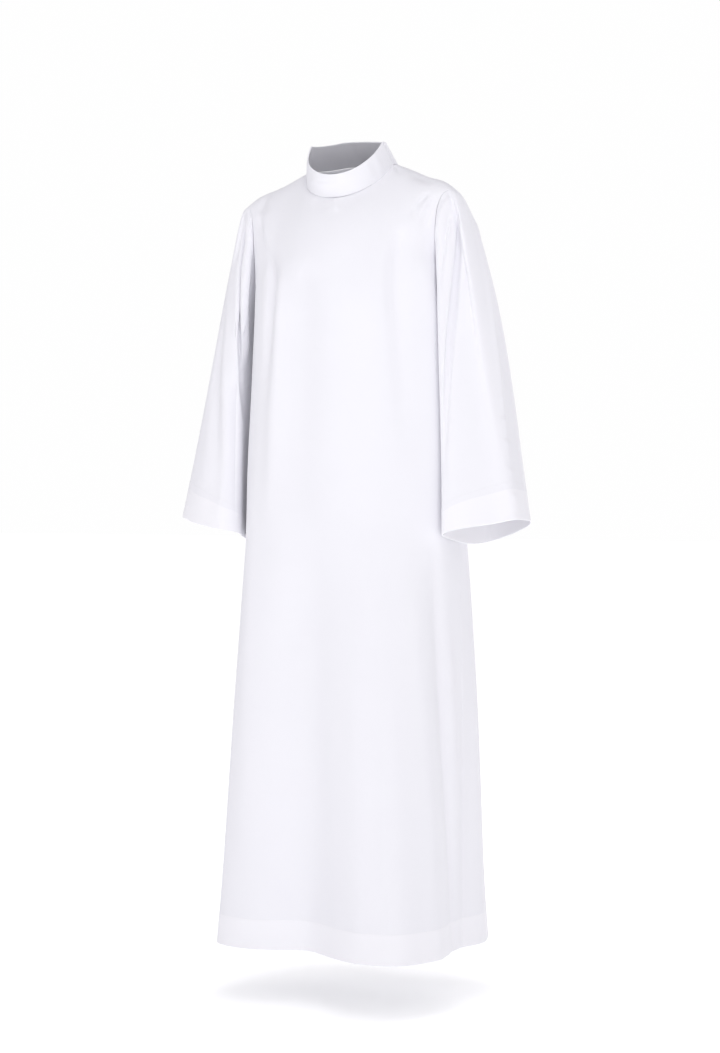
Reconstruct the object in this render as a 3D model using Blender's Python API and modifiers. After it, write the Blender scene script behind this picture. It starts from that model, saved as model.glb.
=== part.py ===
"""Alb: a full-length white vestment with a stand collar and wide sleeves, hollow, in the pose of a
standing wearer. Metres, +Z up. The front faces -Y and the wearer's left is +X. The origin is the middle
of the neck opening, level with the points where the shoulder seams meet the collar.

Each piece is a grid of points on a smooth form, with its wall grown inwards by Solidify. A hem or a cuff
is the same cloth turned up, so the wall is two layers thick there."""

import math
from collections import namedtuple

import bmesh
import bpy
import numpy as np

# Lengths of the body and the turned-up edges.
HEM_Z = -1.447
UNDERARM_Z = -0.285
HEM_DEPTH = 0.056
CUFF_DEPTH = 0.056
SLEEVE_LENGTH = 0.62

# Cloth walls: one layer, a turned-up edge of two, and the collar with its stiffener.
CLOTH = 0.0014
TURNED_UP = 0.0028
COLLAR_CLOTH = 0.0026
SEAM_GAP = 0.0003

# Where three pieces meet beside the neck, they stand this much further apart, over this share of a panel.
CORNER_GAP = 0.0005
CORNER_WIDTH = 0.05
CORNER_POWER = 8

# Neck opening, an ellipse from above. Its edge dips in front and rises behind.
NECK_HALF_WIDTH = 0.083
NECK_HALF_DEPTH = 0.083
NECK_DIP = 0.065
NECK_RISE = 0.008

# The collar's top edge is a smaller ellipse, carried forward with the neck and lower at the left.
COLLAR_HEIGHT = 0.041
COLLAR_TILT = 0.002
COLLAR_TOP_HALF_WIDTH = 0.071
COLLAR_TOP_HALF_DEPTH = 0.068
COLLAR_TOP_FORWARD = 0.025
COLLAR_END_GAP = 0.001

# Level sections of the body from the hem to the underarm, each a squared ellipse with its own depths.
BodySection = namedtuple("BodySection", "z half_width centre_x centre_y front_depth back_depth")
BODY_SECTIONS = (
    BodySection(-1.447, 0.236, -0.004, 0.035, 0.213, 0.194),
    BodySection(-1.045, 0.226, -0.003, 0.025, 0.200, 0.188),
    BodySection(-0.800, 0.216, -0.002, 0.015, 0.180, 0.178),
    BodySection(-0.560, 0.205, -0.001, 0.012, 0.167, 0.160),
    BodySection(-0.420, 0.197, 0.000, 0.011, 0.164, 0.145),
    BodySection(-0.285, 0.190, 0.000, 0.010, 0.158, 0.135),
)
SQUARENESS = 2.15

# Folds of the body. The angle is measured round from the centre front, 90 at the left side seam, and the
# height stands out of the section, or into it where negative.
BodyFold = namedtuple("BodyFold", "z angle width height")
BODY_FOLDS = {
    "right_leg": (
        BodyFold(-1.447, -58, 17, 0.034),
        BodyFold(-1.045, -60, 17, 0.014),
        BodyFold(-0.700, -60, 17, 0.000),
    ),
    "between_legs": (
        BodyFold(-1.447, -12, 20, -0.056),
        BodyFold(-1.045, -10, 20, -0.024),
        BodyFold(-0.650, -10, 20, 0.000),
    ),
    "left_leg": (
        BodyFold(-1.447, 38, 19, 0.062),
        BodyFold(-1.045, 38, 19, 0.028),
        BodyFold(-0.650, 38, 19, 0.000),
    ),
    "left_side": (
        BodyFold(-1.447, 86, 14, -0.026),
        BodyFold(-1.045, 86, 14, -0.012),
        BodyFold(-0.750, 86, 14, 0.000),
    ),
    "back_left": (
        BodyFold(-1.447, 128, 18, 0.026),
        BodyFold(-1.045, 128, 18, 0.014),
        BodyFold(-0.600, 128, 18, 0.000),
    ),
    "back_middle": (
        BodyFold(-1.447, 172, 18, -0.030),
        BodyFold(-1.045, 172, 18, -0.014),
        BodyFold(-0.550, 172, 18, 0.000),
    ),
    "back_right": (
        BodyFold(-1.447, 214, 18, 0.034),
        BodyFold(-1.045, 214, 18, 0.015),
        BodyFold(-0.600, 214, 18, 0.000),
    ),
    "right_side": (
        BodyFold(-1.447, 262, 16, -0.016),
        BodyFold(-1.045, 262, 16, -0.008),
        BodyFold(-0.750, 262, 16, 0.000),
    ),
}

# The shoulder seams, from the collar out to the shoulder point, by distance from the middle. The right
# shoulder is dropped, from between the middle and the neck's edge outwards. The left one is lifted towards
# its end.
SHOULDER_X = 0.217
NECK_ACROSS = NECK_HALF_WIDTH / SHOULDER_X
RIGHT_SHOULDER_DROP = 0.011
DROP_START = 0.5
LEFT_SHOULDER_LIFT = 0.009
LIFT_START = 0.140
Shoulder = namedtuple("Shoulder", "x y z")
SHOULDERS = (
    Shoulder(0.083, 0.000, 0.000),
    Shoulder(0.120, -0.001, -0.013),
    Shoulder(0.153, -0.003, -0.027),
    Shoulder(0.197, -0.008, -0.046),
    Shoulder(0.217, -0.012, -0.063),
)

# The handles of the upright curves of the front and back above the underarm, across from the centre to
# the side: how far they rise, how many degrees they turn outwards from the top edge, how far they run
# from it, and how much they fall on the way for each metre forward. Front and back share one slope where
# a shoulder seam joins them.
Rise = namedtuple("Rise", "across lower turn front_reach front_fall back_reach back_fall")
RISES = (
    Rise(0.000, 0.110, 0, 0.045, 1.00, 0.066, 0.45),
    Rise(0.200, 0.110, 14, 0.048, 0.66, 0.074, 0.10),
    Rise(0.383, 0.105, 24, 0.060, 0.20, 0.090, -0.20),
    Rise(0.560, 0.100, 14, 0.069, 0.14, 0.096, -0.14),
    Rise(0.760, 0.095, 4, 0.068, 0.08, 0.088, -0.08),
    Rise(1.000, 0.080, 0, 0.052, 0.00, 0.060, 0.00),
)

# How far the armhole cuts in, as a share of the panel's half width, and how square the cut is.
FRONT_ARMHOLE_CUT = 0.14
BACK_ARMHOLE_CUT = 0.10
ARMHOLE_ROUNDNESS = 0.90

# Edges of the cuffs: 0 at the underarm seam, round by the front to 0.5 below the shoulder point.
CuffPoint = namedtuple("CuffPoint", "around x y z")
LEFT_CUFF = (
    CuffPoint(0.000, 0.224, 0.034, -0.700),
    CuffPoint(0.110, 0.216, -0.028, -0.692),
    CuffPoint(0.200, 0.212, -0.074, -0.681),
    CuffPoint(0.270, 0.230, -0.083, -0.674),
    CuffPoint(0.440, 0.312, -0.050, -0.659),
    CuffPoint(0.500, 0.340, -0.034, -0.653),
    CuffPoint(0.560, 0.346, -0.004, -0.656),
    CuffPoint(0.666, 0.336, 0.046, -0.664),
    CuffPoint(0.780, 0.288, 0.080, -0.682),
    CuffPoint(0.880, 0.244, 0.084, -0.696),
)
RIGHT_CUFF = (
    CuffPoint(0.000, -0.224, 0.030, -0.700),
    CuffPoint(0.110, -0.214, -0.030, -0.690),
    CuffPoint(0.200, -0.204, -0.074, -0.680),
    CuffPoint(0.290, -0.232, -0.090, -0.675),
    CuffPoint(0.430, -0.306, -0.070, -0.661),
    CuffPoint(0.500, -0.336, -0.044, -0.653),
    CuffPoint(0.560, -0.346, -0.010, -0.656),
    CuffPoint(0.666, -0.338, 0.042, -0.664),
    CuffPoint(0.780, -0.290, 0.078, -0.682),
    CuffPoint(0.880, -0.246, 0.080, -0.696),
)

# How the sleeves' long lines leave the armhole and come down to the cuff. X is away from the body.
SleeveLine = namedtuple("SleeveLine", "around out_x out_y out_z in_x in_y in_z")
LEFT_LINES = (
    SleeveLine(0.000, 0.012, 0.000, -0.090, -0.006, 0.000, 0.160),
    SleeveLine(0.125, 0.016, -0.026, -0.090, -0.004, 0.004, 0.160),
    SleeveLine(0.250, 0.020, -0.034, -0.090, -0.006, 0.008, 0.180),
    SleeveLine(0.375, 0.042, -0.024, -0.066, -0.028, 0.006, 0.230),
    SleeveLine(0.500, 0.056, -0.004, -0.026, -0.050, 0.006, 0.250),
    SleeveLine(0.600, 0.080, 0.040, -0.044, -0.050, 0.034, 0.240),
    SleeveLine(0.750, 0.032, 0.052, -0.095, -0.020, 0.014, 0.190),
    SleeveLine(0.875, 0.018, 0.026, -0.090, -0.008, -0.002, 0.160),
)
RIGHT_LINES = (
    SleeveLine(0.000, 0.012, 0.000, -0.090, -0.006, 0.000, 0.160),
    SleeveLine(0.125, 0.016, -0.026, -0.090, -0.004, 0.004, 0.160),
    SleeveLine(0.250, 0.018, -0.034, -0.090, -0.008, 0.010, 0.180),
    SleeveLine(0.375, 0.022, -0.020, -0.056, -0.034, 0.010, 0.230),
    SleeveLine(0.500, 0.018, 0.000, -0.017, -0.062, 0.008, 0.250),
    SleeveLine(0.625, 0.022, 0.024, -0.056, -0.048, 0.006, 0.240),
    SleeveLine(0.750, 0.020, 0.038, -0.095, -0.018, 0.004, 0.190),
    SleeveLine(0.875, 0.016, 0.026, -0.090, -0.008, -0.002, 0.160),
)

# How far round from the shoulder point the sleeve carries on the slope of the shoulder, and how suddenly
# that ends.
SHOULDER_BLEND = 0.13
BLEND_POWER = 4

# Long folds of the sleeves, from the armhole at 0 down to the cuff at 1. Depth goes into the sleeve.
SleeveFold = namedtuple("SleeveFold", "down around width depth")
LEFT_FOLDS = {
    "head": (
        SleeveFold(0.03, 0.400, 0.022, 0.002),
        SleeveFold(0.20, 0.365, 0.022, 0.012),
        SleeveFold(0.45, 0.300, 0.024, 0.010),
        SleeveFold(0.80, 0.265, 0.030, 0.000),
    ),
    "back": (
        SleeveFold(0.05, 0.660, 0.030, 0.002),
        SleeveFold(0.30, 0.700, 0.030, 0.012),
        SleeveFold(0.85, 0.730, 0.034, 0.000),
    ),
}
RIGHT_FOLDS = {
    "head": (
        SleeveFold(0.05, 0.380, 0.026, 0.002),
        SleeveFold(0.25, 0.340, 0.026, 0.012),
        SleeveFold(0.60, 0.330, 0.028, 0.008),
        SleeveFold(0.88, 0.320, 0.032, 0.000),
    ),
    "back": (
        SleeveFold(0.05, 0.640, 0.030, 0.002),
        SleeveFold(0.35, 0.670, 0.030, 0.011),
        SleeveFold(0.88, 0.700, 0.034, 0.000),
    ),
}

# How finely the pieces are divided. A narrow strip beside each seam lets the two edges meet squarely.
NECK_COLUMNS = 7
SHOULDER_COLUMNS = 5
SKIRT_ROWS = 12
YOKE_ROWS = 11
SLEEVE_ROWS = 12
COLLAR_ROWS = 2
SEAM_STRIP = 0.016
SLEEVE_STRIP = 0.007
COLLAR_STRIP = 0.05
TURN_STEP = 0.0015

# Finish of the white cloth: colour, roughness, metallic.
CLOTH_COLOURS = {
    "front_panel": (0.90, 0.90, 0.94),
    "back_panel": (0.89, 0.89, 0.93),
    "sleeve_left": (0.92, 0.92, 0.96),
    "sleeve_right": (0.88, 0.88, 0.92),
    "collar": (0.94, 0.94, 0.97),
}
ROUGHNESS = 0.75
METALLIC = 0.0


def table(rows, key, name, at):
    """A column of a table, read along a smooth curve through its rows."""
    knots = np.array([getattr(row, key) for row in rows], float)
    values = np.array([getattr(row, name) for row in rows], float)
    slopes = np.gradient(values, knots)
    at = np.clip(at, knots[0], knots[-1])
    i = np.clip(np.searchsorted(knots, at, side="right") - 1, 0, len(knots) - 2)
    span = knots[i + 1] - knots[i]
    t = (at - knots[i]) / span
    start = (1 + 2 * t) * (1 - t) ** 2 * values[i] + t * (1 - t) ** 2 * span * slopes[i]
    end = t**2 * (3 - 2 * t) * values[i + 1] + t**2 * (t - 1) * span * slopes[i + 1]
    return start + end


def round_table(rows, name, around):
    """The same for a table whose key goes round from 0 to 1 and meets itself."""
    turns = (-1, 0, 1)
    ring = [row._replace(around=row.around + turn) for turn in turns for row in rows]
    return table(ring, "around", name, np.asarray(around) % 1.0)


def bezier(start, leave, arrive, end, t):
    t = np.asarray(t)[..., None]
    return (1 - t) ** 3 * start + 3 * t * (1 - t) ** 2 * leave + 3 * t**2 * (1 - t) * arrive + t**3 * end


def body_fold_height(z, degrees):
    """The folds at a place, added up. Each is a bell across its own line."""
    total = np.zeros(np.broadcast(z, degrees).shape)
    for rows in BODY_FOLDS.values():
        apart = (degrees - table(rows, "z", "angle", z) + 180) % 360 - 180
        total += table(rows, "z", "height", z) * np.exp(-((apart / table(rows, "z", "width", z)) ** 2))
    return total


def body_point(side, across, z):
    """A point of the body at or below the underarm. side is -1 in front and 1 behind, and across runs
    from -1 at the right side seam to 1 at the left."""
    angle = across * math.pi / 2
    half_width = table(BODY_SECTIONS, "z", "half_width", z)
    depth = table(BODY_SECTIONS, "z", "front_depth" if side < 0 else "back_depth", z)
    reach = (abs(np.sin(angle)) / half_width) ** SQUARENESS + (abs(np.cos(angle)) / depth) ** SQUARENESS
    degrees = np.degrees(angle) if side < 0 else 180 - np.degrees(angle)
    radius = reach ** (-1 / SQUARENESS) + body_fold_height(z, degrees)
    x = table(BODY_SECTIONS, "z", "centre_x", z) + radius * np.sin(angle)
    y = table(BODY_SECTIONS, "z", "centre_y", z) + side * radius * np.cos(angle)
    return np.stack(np.broadcast_arrays(x, y, z), axis=-1)


def top_point(side, across):
    """The top edge of a panel: the neck opening in the middle, and a shoulder seam on each hand."""
    out = np.clip(abs(across) * SHOULDER_X, NECK_HALF_WIDTH, SHOULDER_X)
    angle = np.clip(abs(across) / NECK_ACROSS, 0, 1) * math.pi / 2
    x = np.sign(across) * (out + NECK_HALF_WIDTH * (np.sin(angle) - 1))
    neck_z = -NECK_DIP * np.cos(angle) if side < 0 else NECK_RISE * np.cos(angle) ** 2
    y = table(SHOULDERS, "x", "y", out) + side * NECK_HALF_DEPTH * np.cos(angle)
    drop = RIGHT_SHOULDER_DROP * np.clip(-x / NECK_HALF_WIDTH - DROP_START, 0, 1)
    lift = LEFT_SHOULDER_LIFT * np.clip((x - LIFT_START) / (SHOULDER_X - LIFT_START), 0, 1)
    return np.stack([x, y, table(SHOULDERS, "x", "z", out) + neck_z - drop + lift], axis=-1)


def seam_fall(across):
    """How much the shoulder seam falls for each metre outwards."""
    step = 0.001
    x = np.clip(abs(across) * SHOULDER_X, NECK_HALF_WIDTH, SHOULDER_X - step)
    return (table(SHOULDERS, "x", "z", x) - table(SHOULDERS, "x", "z", x + step)) / step


def yoke_point(side, across, up):
    """A point of a panel above the underarm, up from 0 there to 1 at its top edge."""
    across, up = np.broadcast_arrays(np.asarray(across, float), np.asarray(up, float))
    outside = np.clip((abs(across) - NECK_ACROSS) / (1 - NECK_ACROSS), 0, 1)
    cut = FRONT_ARMHOLE_CUT if side < 0 else BACK_ARMHOLE_CUT
    cut = cut * np.sin(math.pi * up) ** ARMHOLE_ROUNDNESS * outside**2
    across = across - np.sign(across) * cut
    step = 0.01
    start = body_point(side, across, np.full(across.shape, UNDERARM_Z))
    below = body_point(side, across, np.full(across.shape, UNDERARM_Z - step))
    rise = (start - below) / step * table(RISES, "across", "lower", abs(across))[..., None]
    name = "front" if side < 0 else "back"
    reach = table(RISES, "across", name + "_reach", abs(across))
    turn = np.radians(table(RISES, "across", "turn", abs(across)))
    sideways = reach * np.sin(turn)
    forwards = reach * np.cos(turn)
    fall = sideways * seam_fall(across) + forwards * table(RISES, "across", name + "_fall", abs(across))
    run = np.stack([np.sign(across) * sideways, side * forwards, -fall], axis=-1)
    end = top_point(side, across)
    return bezier(start, start + rise, end + run, end, up)


def armhole_point(wearer_side, around, across=1.0):
    """The edge of an armhole: 0 at the underarm, up the front to 0.5 at the shoulder, down the back."""
    edge = np.full(around.shape, wearer_side * across)
    front = yoke_point(-1, edge, np.clip(2 * around, 0, 1))
    back = yoke_point(1, edge, np.clip(2 - 2 * around, 0, 1))
    return np.where((around <= 0.5)[..., None], front, back)


def shoulder_direction(wearer_side, around):
    """The way in which the body's cloth runs on over the edge of the armhole."""
    across_step, step = 0.02, 0.002
    on = armhole_point(wearer_side, around) - armhole_point(wearer_side, around, 1 - across_step)
    higher = armhole_point(wearer_side, around + step) - armhole_point(wearer_side, around - step)
    higher /= np.linalg.norm(higher, axis=-1, keepdims=True)
    on -= higher * np.sum(on * higher, axis=-1, keepdims=True)
    return on / np.linalg.norm(on, axis=-1, keepdims=True)


def sleeve_fold_depth(folds, around, down):
    total = np.zeros(np.broadcast(around, down).shape)
    for rows in folds.values():
        apart = around - table(rows, "down", "around", down)
        bell = np.exp(-((apart / table(rows, "down", "width", down)) ** 2))
        total += table(rows, "down", "depth", down) * bell
    return total


def plain_sleeve_point(wearer_side, around, down):
    """A point of a sleeve before its folds, from the armhole at 0 down to the cuff at 1."""
    around, down = np.broadcast_arrays(np.asarray(around, float), np.asarray(down, float))
    around = around % 1.0
    cuff, lines = (LEFT_CUFF, LEFT_LINES) if wearer_side > 0 else (RIGHT_CUFF, RIGHT_LINES)
    outwards = np.array([wearer_side, 1, 1])
    leave = np.stack([round_table(lines, name, around) for name in ("out_x", "out_y", "out_z")], axis=-1)
    arrive = np.stack([round_table(lines, name, around) for name in ("in_x", "in_y", "in_z")], axis=-1)
    leave, arrive = leave * outwards, arrive * outwards
    on = shoulder_direction(wearer_side, around)
    near_shoulder = np.exp(-(((around - 0.5) / SHOULDER_BLEND) ** BLEND_POWER))[..., None]
    leave += near_shoulder * (on * np.linalg.norm(leave, axis=-1, keepdims=True) - leave)
    gap = (SEAM_GAP + CORNER_GAP * near_shoulder) * wearer_side
    edge = armhole_point(wearer_side, around) + gap * np.array([1, 0, 0])
    start = edge + leave / np.linalg.norm(leave, axis=-1, keepdims=True) * SLEEVE_STRIP * SLEEVE_LENGTH
    end = np.stack([round_table(cuff, name, around) for name in "xyz"], axis=-1)
    strip = edge + (start - edge) * down[..., None] / SLEEVE_STRIP
    below = bezier(start, start + leave, end + arrive, end, (down - SLEEVE_STRIP) / (1 - SLEEVE_STRIP))
    return np.where((down < SLEEVE_STRIP)[..., None], strip, below)


def sleeve_point(wearer_side, around, down):
    step = 0.004
    folds = LEFT_FOLDS if wearer_side > 0 else RIGHT_FOLDS
    here = plain_sleeve_point(wearer_side, around, down)
    round_it = plain_sleeve_point(wearer_side, around + step, down) - here
    along = plain_sleeve_point(wearer_side, around, down + step) - here
    inwards = wearer_side * np.cross(round_it, along)
    inwards /= np.linalg.norm(inwards, axis=-1, keepdims=True)
    return here + inwards * sleeve_fold_depth(folds, around, down)[..., None]


def collar_point(angle, up):
    """A point of the collar, round from the left shoulder by the front, and up from its seam."""
    side = -1 if angle <= math.pi else 1
    across = NECK_ACROSS * (1 - 2 * min(angle, 2 * math.pi - angle) / math.pi)
    lift = SEAM_GAP + 2 * CORNER_GAP * math.cos(angle) ** CORNER_POWER
    base = top_point(side, np.array(across)) + np.array([0, 0, lift])
    top_x = COLLAR_TOP_HALF_WIDTH * math.cos(angle)
    top_y = -COLLAR_TOP_HALF_DEPTH * math.sin(angle) - COLLAR_TOP_FORWARD
    top_z = base[2] + COLLAR_HEIGHT - COLLAR_TILT * math.cos(angle)
    return base + (np.array([top_x, top_y, top_z]) - base) * up


def cloth_material(name):
    material = bpy.data.materials.new(name + "_cloth")
    material.use_nodes = True
    shader = material.node_tree.nodes["Principled BSDF"]
    shader.inputs["Base Color"].default_value = (*CLOTH_COLOURS[name], 1)
    shader.inputs["Roughness"].default_value = ROUGHNESS
    shader.inputs["Metallic"].default_value = METALLIC
    return material


def cloth_piece(name, points, layers, collection):
    """An object from rows of points, whose wall grows inwards. layers gives each row's thickness."""
    rows, columns = points.shape[:2]
    bm = bmesh.new()
    bmesh.ops.create_grid(bm, x_segments=columns - 1, y_segments=rows - 1, size=1)
    weights = bm.verts.layers.deform.verify()
    thickest = max(layers)
    for number, vert in enumerate(bm.verts):
        row, column = divmod(number, columns)
        vert.co = points[row, column]
        vert[weights][0] = layers[row] / thickest
    bmesh.ops.remove_doubles(bm, verts=bm.verts, dist=1e-6)
    mesh = bpy.data.meshes.new(name)
    bm.to_mesh(mesh)
    bm.free()
    mesh.materials.append(cloth_material(name))
    mesh.shade_smooth()
    piece = bpy.data.objects.new(name, mesh)
    piece.vertex_groups.new(name="layers")
    collection.objects.link(piece)
    wall = piece.modifiers.new("wall", "SOLIDIFY")
    wall.thickness = thickest
    wall.offset = -1
    wall.use_even_offset = True
    wall.vertex_group = "layers"
    return piece


def panel_columns():
    """Places across a panel: even steps round the neck opening, then along the shoulder."""
    neck = np.linspace(0, NECK_ACROSS, NECK_COLUMNS + 1)
    shoulder = np.linspace(neck[-1], 1 - SEAM_STRIP, SHOULDER_COLUMNS + 1)[1:]
    half = np.concatenate([neck, shoulder, [1.0]])
    return np.concatenate([-half[:0:-1], half])


def yoke_rows():
    return np.concatenate([np.linspace(0, 1 - SEAM_STRIP, YOKE_ROWS + 1), [1.0]])


def body_panel(name, side, collection):
    across = panel_columns()
    turned_up = HEM_Z + HEM_DEPTH
    heights = [HEM_Z, turned_up, *np.linspace(turned_up + TURN_STEP, UNDERARM_Z, SKIRT_ROWS)]
    rows = [body_point(side, across, np.full(across.shape, z)) for z in heights]
    rows += [yoke_point(side, across, np.full(across.shape, up)) for up in yoke_rows()[1:]]
    points = np.array(rows) + np.array([0, side * SEAM_GAP / 2, 0])
    points[-1, :, 1] += side * CORNER_GAP * np.exp(-(((abs(across) - NECK_ACROSS) / CORNER_WIDTH) ** 2))
    layers = [TURNED_UP] * 2 + [CLOTH] * (len(rows) - 2)
    return cloth_piece(name, points[:, ::-side], layers, collection)


def sleeve(name, wearer_side, collection):
    front = yoke_rows() / 2
    around = np.concatenate([front, 1 - front[-2::-1]])
    turned_up = 1 - CUFF_DEPTH / SLEEVE_LENGTH
    single = turned_up - TURN_STEP / SLEEVE_LENGTH
    downs = [1, turned_up, *np.linspace(single, SLEEVE_STRIP, SLEEVE_ROWS), 0]
    points = np.array([sleeve_point(wearer_side, around, np.full(around.shape, down)) for down in downs])
    points[:, -1] = points[:, 0]
    layers = [TURNED_UP] * 2 + [CLOTH] * (len(downs) - 2)
    return cloth_piece(name, points[:, ::wearer_side], layers, collection)


def collar(name, collection):
    angles = np.linspace(0, 2 * math.pi, 4 * NECK_COLUMNS + 1)
    angles = np.concatenate([[0, COLLAR_STRIP], angles[1:-1], [2 * math.pi - COLLAR_STRIP, 2 * math.pi]])
    ups = np.linspace(0, 1, COLLAR_ROWS + 1)
    points = np.array([[collar_point(angle, up) for angle in angles] for up in ups])
    points[:, 0, 1] -= COLLAR_END_GAP / 2
    points[:, -1, 1] += COLLAR_END_GAP / 2
    return cloth_piece(name, points[:, ::-1], [COLLAR_CLOTH] * len(ups), collection)


def main():
    for obj in list(bpy.data.objects):
        bpy.data.objects.remove(obj)
    collection = bpy.data.collections.new("alb")
    bpy.context.scene.collection.children.link(collection)
    body_panel("front_panel", -1, collection)
    body_panel("back_panel", 1, collection)
    sleeve("sleeve_left", 1, collection)
    sleeve("sleeve_right", -1, collection)
    collar("collar", collection)


main()
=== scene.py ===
import math

import bmesh
import bpy
import numpy as np
from mathutils import Matrix, Vector


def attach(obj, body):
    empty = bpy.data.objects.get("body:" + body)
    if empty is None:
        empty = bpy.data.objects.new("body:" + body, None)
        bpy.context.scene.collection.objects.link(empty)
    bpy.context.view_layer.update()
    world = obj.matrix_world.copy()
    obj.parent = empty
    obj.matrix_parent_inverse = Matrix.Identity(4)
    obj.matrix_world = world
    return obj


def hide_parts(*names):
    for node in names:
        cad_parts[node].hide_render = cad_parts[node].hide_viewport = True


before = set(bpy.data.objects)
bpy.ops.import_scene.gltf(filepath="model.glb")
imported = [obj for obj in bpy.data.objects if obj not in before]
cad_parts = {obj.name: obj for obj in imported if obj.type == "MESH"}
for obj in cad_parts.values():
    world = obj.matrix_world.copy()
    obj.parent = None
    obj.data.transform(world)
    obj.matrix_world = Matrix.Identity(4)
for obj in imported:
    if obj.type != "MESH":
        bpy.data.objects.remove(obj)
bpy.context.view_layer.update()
print("frame:", len(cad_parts), "cad nodes")

# An alb in metres, +Z up: the front faces -Y and the wearer's left is +X. The origin is the middle of the
# neck opening. Each panel is laid out across (-1 right seam, 1 left seam) and by level (-1 hem,
# 0 underarm, 1 top edge). A sleeve is laid out around (0 underarm seam, 0.5 shoulder) and down.

cloth = {
    "thickness": 0.0005,
    "seamGap": 0.0003,  # between two pieces sewn together
    "seamRoll": 0.0005,  # radius of an edge where it turns in at a seam
    "allowance": 0.006,  # cloth turned in beyond a seam
    "foldGap": 0.0016,  # across the fold at a hem or cuff
    "edgeDepth": 0.056,  # a hem or a cuff, turned up inside
    "edgeProud": (0.0003, 0.0006),  # how far a turned-up edge stands out, and over what distance it starts
    "sewnDip": (0.00025, 0.0010),  # how deep the line sewn along its top pulls in, and how wide
}


def skirtFold(angles, width, top, heights):
    # a broad fold that dies out at its top; pairs of values are at the hem and at the knees
    return {
        "z": (-1.447, -1.045, top),
        "angle": (*angles, angles[1]),
        "width": (width, width, width),
        "height": (*heights, 0),
    }


def crease(*path, lean=0, power=2):
    # places along it, each with its width and depth in millimetres: a depth below nothing is a ridge,
    # a lean widens one flank, and a power below 2 sharpens the middle
    places = [(u, v, width / 1000, depth / 1000) for u, v, width, depth in path]
    return {"path": places, "lean": lean, "power": power}


body = {
    "hemZ": -1.447,
    "underarmZ": -0.285,
    "squareness": 2.15,
    "sections": {  # level sections, each a squared ellipse
        "z": (-1.447, -1.045, -0.8, -0.56, -0.42, -0.285),
        "halfWidth": (0.236, 0.226, 0.216, 0.205, 0.197, 0.19),
        "centreX": (-0.004, -0.003, -0.002, -0.001, 0, 0),
        "centreY": (0.035, 0.025, 0.015, 0.012, 0.011, 0.01),
        "frontDepth": (0.213, 0.2, 0.18, 0.167, 0.164, 0.158),
        "backDepth": (0.194, 0.188, 0.178, 0.16, 0.145, 0.135),
    },
    "folds": {  # degrees round from the centre front, 90 at the left side seam
        "rightLeg": skirtFold((-58, -60), 17, -0.7, (0.034, 0.014)),
        "betweenLegs": skirtFold((-12, -10), 20, -0.65, (-0.056, -0.024)),
        "leftLeg": skirtFold((38, 38), 19, -0.65, (0.062, 0.028)),
        "leftSide": skirtFold((86, 86), 14, -0.75, (-0.026, -0.012)),
        "backLeft": skirtFold((128, 128), 18, -0.6, (0.026, 0.014)),
        "backMiddle": skirtFold((172, 172), 18, -0.55, (-0.03, -0.014)),
        "backRight": skirtFold((214, 214), 18, -0.6, (0.034, 0.015)),
        "rightSide": skirtFold((262, 262), 16, -0.75, (-0.016, -0.008)),
    },
}

yoke = {
    "neckHalfWidth": 0.083,
    "neckHalfDepth": 0.083,
    "neckDip": 0.065,  # how far the neckline drops in front
    "neckRise": 0.008,  # and stands up behind
    "shoulderX": 0.217,
    "rightDrop": 0.011,
    "dropStart": 0.5,
    "leftLift": 0.006,
    "liftStart": 0.14,
    "frontCut": 0.14,  # how far the armhole cuts into the panel
    "backCut": 0.1,
    "cutRoundness": 0.9,
    "easing": 0.15,  # how far across the corner beside the neck is eased out, below the top edge
    "easingWeights": ((-1, 0.1), (-0.6, 0.2), (-0.2, 0.2), (0.2, 0.2), (0.6, 0.2), (1, 0.1)),
    "easingStart": 0.3,
    "easingEnd": 10,
    "shoulders": {  # the shoulder seam from the neck out
        "x": (0.083, 0.12, 0.153, 0.197, 0.217),
        "y": (0, -0.001, -0.003, -0.008, -0.012),
        "z": (0, -0.013, -0.027, -0.046, -0.063),
    },
    "rises": {  # handles of the upright curves from the underarm to the top edge
        "across": (0, 0.2, 0.383, 0.56, 0.76, 1),
        "lower": (0.11, 0.11, 0.105, 0.1, 0.095, 0.08),
        "turn": (0, 14, 24, 14, 4, 0),
        "frontReach": (0.045, 0.048, 0.06, 0.069, 0.068, 0.052),
        "frontFall": (1, 0.66, 0.2, 0.14, 0.08, 0),
        "backReach": (0.066, 0.074, 0.09, 0.096, 0.088, 0.06),
        "backFall": (0.45, 0.1, -0.2, -0.14, -0.08, 0),
    },
}
neckAcross = yoke["neckHalfWidth"] / yoke["shoulderX"]


def curve(columns, name, at):
    # a column of a table, read along a smooth curve over its first column
    keys = np.array(next(iter(columns.values())), float)
    values = np.array(columns[name], float)
    slopes = np.gradient(values, keys)
    at = np.clip(at, keys[0], keys[-1])
    i = np.clip(np.searchsorted(keys, at, side="right") - 1, 0, len(keys) - 2)
    span = keys[i + 1] - keys[i]
    t = (at - keys[i]) / span
    start = (1 + 2 * t) * (1 - t) ** 2 * values[i] + t * (1 - t) ** 2 * span * slopes[i]
    end = t**2 * (3 - 2 * t) * values[i + 1] + t**2 * (t - 1) * span * slopes[i + 1]
    return start + end


def ringCurve(columns, name, around):
    # the same where the first column goes round from 0 to 1
    keys = next(iter(columns.values()))
    ring = {"around": [key + turn for turn in (-1, 0, 1) for key in keys], name: list(columns[name]) * 3}
    return curve(ring, name, np.asarray(around) % 1.0)


def bezier(start, leave, arrive, end, t):
    t = np.asarray(t)[..., None]
    return (1 - t) ** 3 * start + 3 * t * (1 - t) ** 2 * leave + 3 * t**2 * (1 - t) * arrive + t**3 * end


def unit(vectors):
    return vectors / np.maximum(np.linalg.norm(vectors, axis=-1, keepdims=True), 1e-12)


def fadeOut(distance, over):
    share = np.clip(distance / over, 0, 1)
    return share**2 * (3 - 2 * share)


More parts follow.
